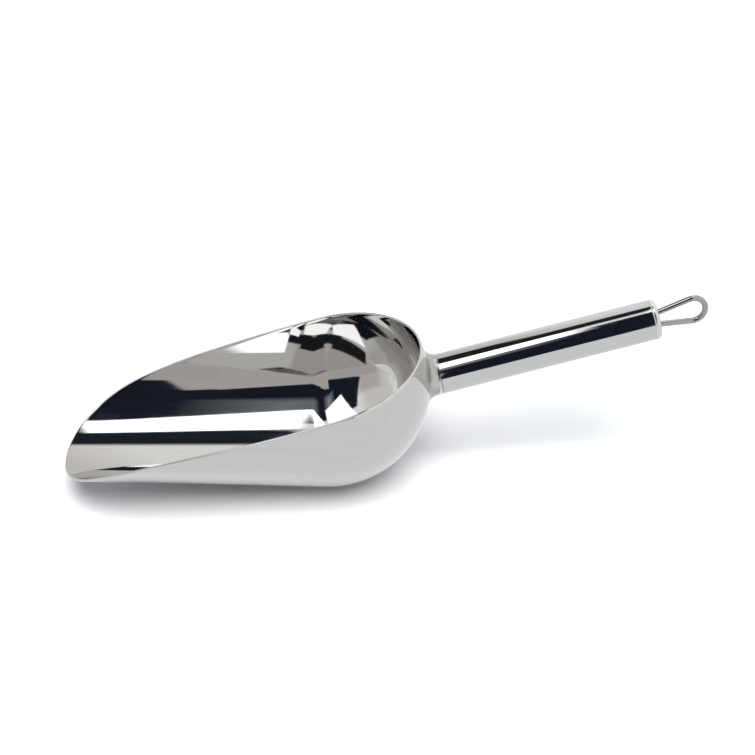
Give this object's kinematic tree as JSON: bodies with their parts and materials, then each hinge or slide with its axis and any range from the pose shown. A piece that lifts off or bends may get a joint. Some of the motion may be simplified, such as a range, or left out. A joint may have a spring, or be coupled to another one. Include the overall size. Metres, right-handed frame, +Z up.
{
  "type": "ice scoop",
  "caption": "Rigid hand scoop: deep trough-shaped bowl with a ball-shaped back, welded tubular handle with a closed end and a bent-wire hanging loop.",
  "frame": {"origin": "on the counter under the middle of the scoop's overall length, in its plane of symmetry", "axes": "+X from the lip towards the hanging loop, level; +Z up with the scoop standing on the flat on the back of its bowl; +Y to the left when looking along +X"},
  "size_m": [0.3185, 0.1, 0.0854],
  "materials": {
    "mirror_steel": "mirror-polished stainless steel sheet with fine lengthwise polishing lines",
    "polished_tube": "polished stainless steel tube with a fine lengthwise grain",
    "polished_wire": "polished stainless steel wire",
    "turned_steel": "turned and satin-polished stainless steel",
    "ground_weld": "ground and polished stainless steel weld"
  },
  "bodies": {
    "root": {"bowl": "mirror_steel", "bowl_weld": "ground_weld", "neck_socket": "turned_steel", "front_seam_weld": "ground_weld", "handle_tube": "polished_tube", "rear_seam_weld": "ground_weld", "end_plug": "turned_steel", "hanging_loop": "polished_wire", "loop_weld_upper": "ground_weld", "loop_weld_lower": "ground_weld"}
  },
  "joints": []
}
